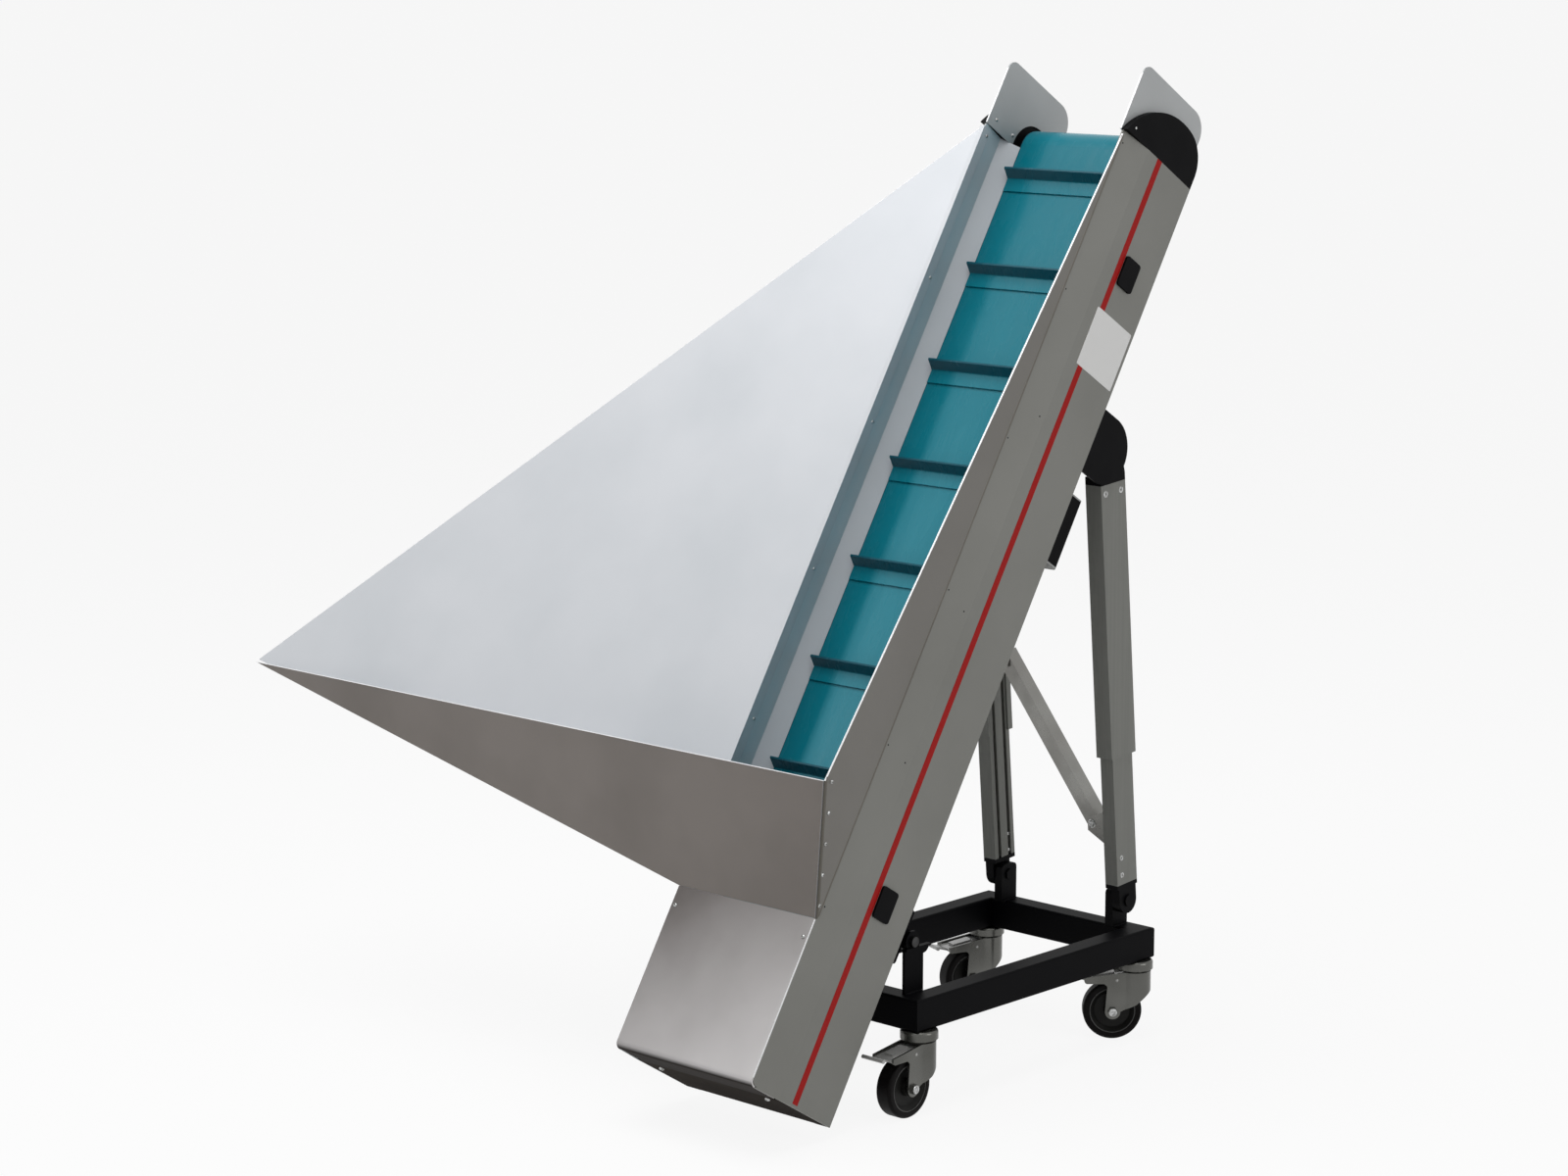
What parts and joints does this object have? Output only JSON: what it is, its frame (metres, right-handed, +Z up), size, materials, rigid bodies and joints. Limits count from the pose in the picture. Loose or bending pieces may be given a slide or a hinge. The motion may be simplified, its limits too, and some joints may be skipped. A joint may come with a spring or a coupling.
{
  "type": "mobile belt conveyor",
  "caption": "Steep cleated belt conveyor with a side feed hopper, on a castered tube carriage with telescopic rear legs.",
  "frame": {"origin": "on the floor under the centre of the carriage", "axes": "+X across the belt towards the side without the hopper's point, +Y horizontally towards the discharge end, +Z up"},
  "size_m": [1.0637, 0.8343, 1.2469],
  "materials": {
    "black_paint": "satin black powder coat",
    "zinc_plate": "bright zinc plate",
    "black_plastic": "fine matt moulded",
    "grey_paint": "fine textured grey paint",
    "cover_paint": "fine textured light paint",
    "satin_steel": "satin sheet metal",
    "anodised": "satin anodised",
    "belt_surface": "smooth conveyor belting",
    "wheel_tread": "dark solid rubber",
    "wheel_disc": "moulded"
  },
  "bodies": {
    "carriage": {"side_tubes": "black_paint", "cross_tubes": "black_paint", "front_posts": "black_paint", "pivot_bolts": "zinc_plate", "leg_brackets": "black_plastic"},
    "conveyor": {"side_wall_right": "grey_paint", "side_wall_left": "grey_paint", "rear_pan": "grey_paint", "foot_plate": "grey_paint", "foot_cover": "cover_paint", "feed_baffle": "grey_paint", "slider_bed": "anodised", "skirts": "satin_steel", "head_drum": "zinc_plate", "tail_drum": "zinc_plate", "belt": "belt_surface", "end_caps": "black_plastic", "guide_plates": "satin_steel", "hopper_front": "grey_paint", "hopper_left": "satin_steel", "hopper_right": "satin_steel", "pivot_lugs": "black_paint", "top_brackets": "black_plastic", "control_box": "black_plastic", "box_brackets": "zinc_plate", "latch_covers": "black_plastic"},
    "leg_lower": {"inner_profiles": "anodised", "leg_feet": "black_plastic", "leg_brace": "zinc_plate"},
    "leg_upper": {"outer_channels": "anodised", "leg_heads": "black_plastic"},
    "swivel_front_right": {"fork_front_right": "zinc_plate", "pedal_front_right": "zinc_plate"},
    "wheel_front_right": {"tyre_front_right": "wheel_tread", "hub_front_right": "wheel_disc"},
    "swivel_front_left": {"fork_front_left": "zinc_plate", "pedal_front_left": "zinc_plate"},
    "wheel_front_left": {"tyre_front_left": "wheel_tread", "hub_front_left": "wheel_disc"},
    "swivel_rear_right": {"fork_rear_right": "zinc_plate", "pedal_rear_right": "zinc_plate"},
    "wheel_rear_right": {"tyre_rear_right": "wheel_tread", "hub_rear_right": "wheel_disc"},
    "swivel_rear_left": {"fork_rear_left": "zinc_plate", "pedal_rear_left": "zinc_plate"},
    "wheel_rear_left": {"tyre_rear_left": "wheel_tread", "hub_rear_left": "wheel_disc"}
  },
  "joints": [
    {"name": "conveyor_tilt", "type": "hinge", "parent": "carriage", "child": "conveyor", "pos_m": [0, -0.207, 0.209], "axis": [1, 0, 0], "range_deg": [-15, 3]},
    {"name": "leg_swing", "type": "hinge", "parent": "carriage", "child": "leg_lower", "pos_m": [0, 0.212, 0.18], "axis": [1, 0, 0], "range_deg": [-14.5, 2.9]},
    {"name": "leg_extend", "type": "slide", "parent": "leg_lower", "child": "leg_upper", "axis": [0, -0.0865, 0.9962], "range_m": [-0.109, 0.022]},
    {"name": "swivel_front_right", "type": "hinge", "parent": "carriage", "child": "swivel_front_right", "pos_m": [0.125, -0.212, 0.105], "axis": [0, 0, 1], "continuous": true},
    {"name": "roll_front_right", "type": "hinge", "parent": "swivel_front_right", "child": "wheel_front_right", "pos_m": [0.125, -0.241, 0.038], "axis": [1, 0, 0], "continuous": true},
    {"name": "swivel_front_left", "type": "hinge", "parent": "carriage", "child": "swivel_front_left", "pos_m": [-0.125, -0.212, 0.105], "axis": [0, 0, 1], "continuous": true},
    {"name": "roll_front_left", "type": "hinge", "parent": "swivel_front_left", "child": "wheel_front_left", "pos_m": [-0.14621, -0.23178, 0.038], "axis": [0.682, -0.7314, 0], "continuous": true},
    {"name": "swivel_rear_right", "type": "hinge", "parent": "carriage", "child": "swivel_rear_right", "pos_m": [0.125, 0.212, 0.105], "axis": [0, 0, 1], "continuous": true},
    {"name": "roll_rear_right", "type": "hinge", "parent": "swivel_rear_right", "child": "wheel_rear_right", "pos_m": [0.10379, 0.19222, 0.038], "axis": [0.682, -0.7314, 0], "continuous": true},
    {"name": "swivel_rear_left", "type": "hinge", "parent": "carriage", "child": "swivel_rear_left", "pos_m": [-0.125, 0.212, 0.105], "axis": [0, 0, 1], "continuous": true},
    {"name": "roll_rear_left", "type": "hinge", "parent": "swivel_rear_left", "child": "wheel_rear_left", "pos_m": [-0.13492, 0.18475, 0.038], "axis": [0.9397, -0.342, 0], "continuous": true}
  ],
  "couplings": [
    {"joint": "leg_swing", "follows": "conveyor_tilt", "ratio": 0.96},
    {"joint": "leg_extend", "follows": "conveyor_tilt", "m_per_rad": 0.41368}
  ]
}
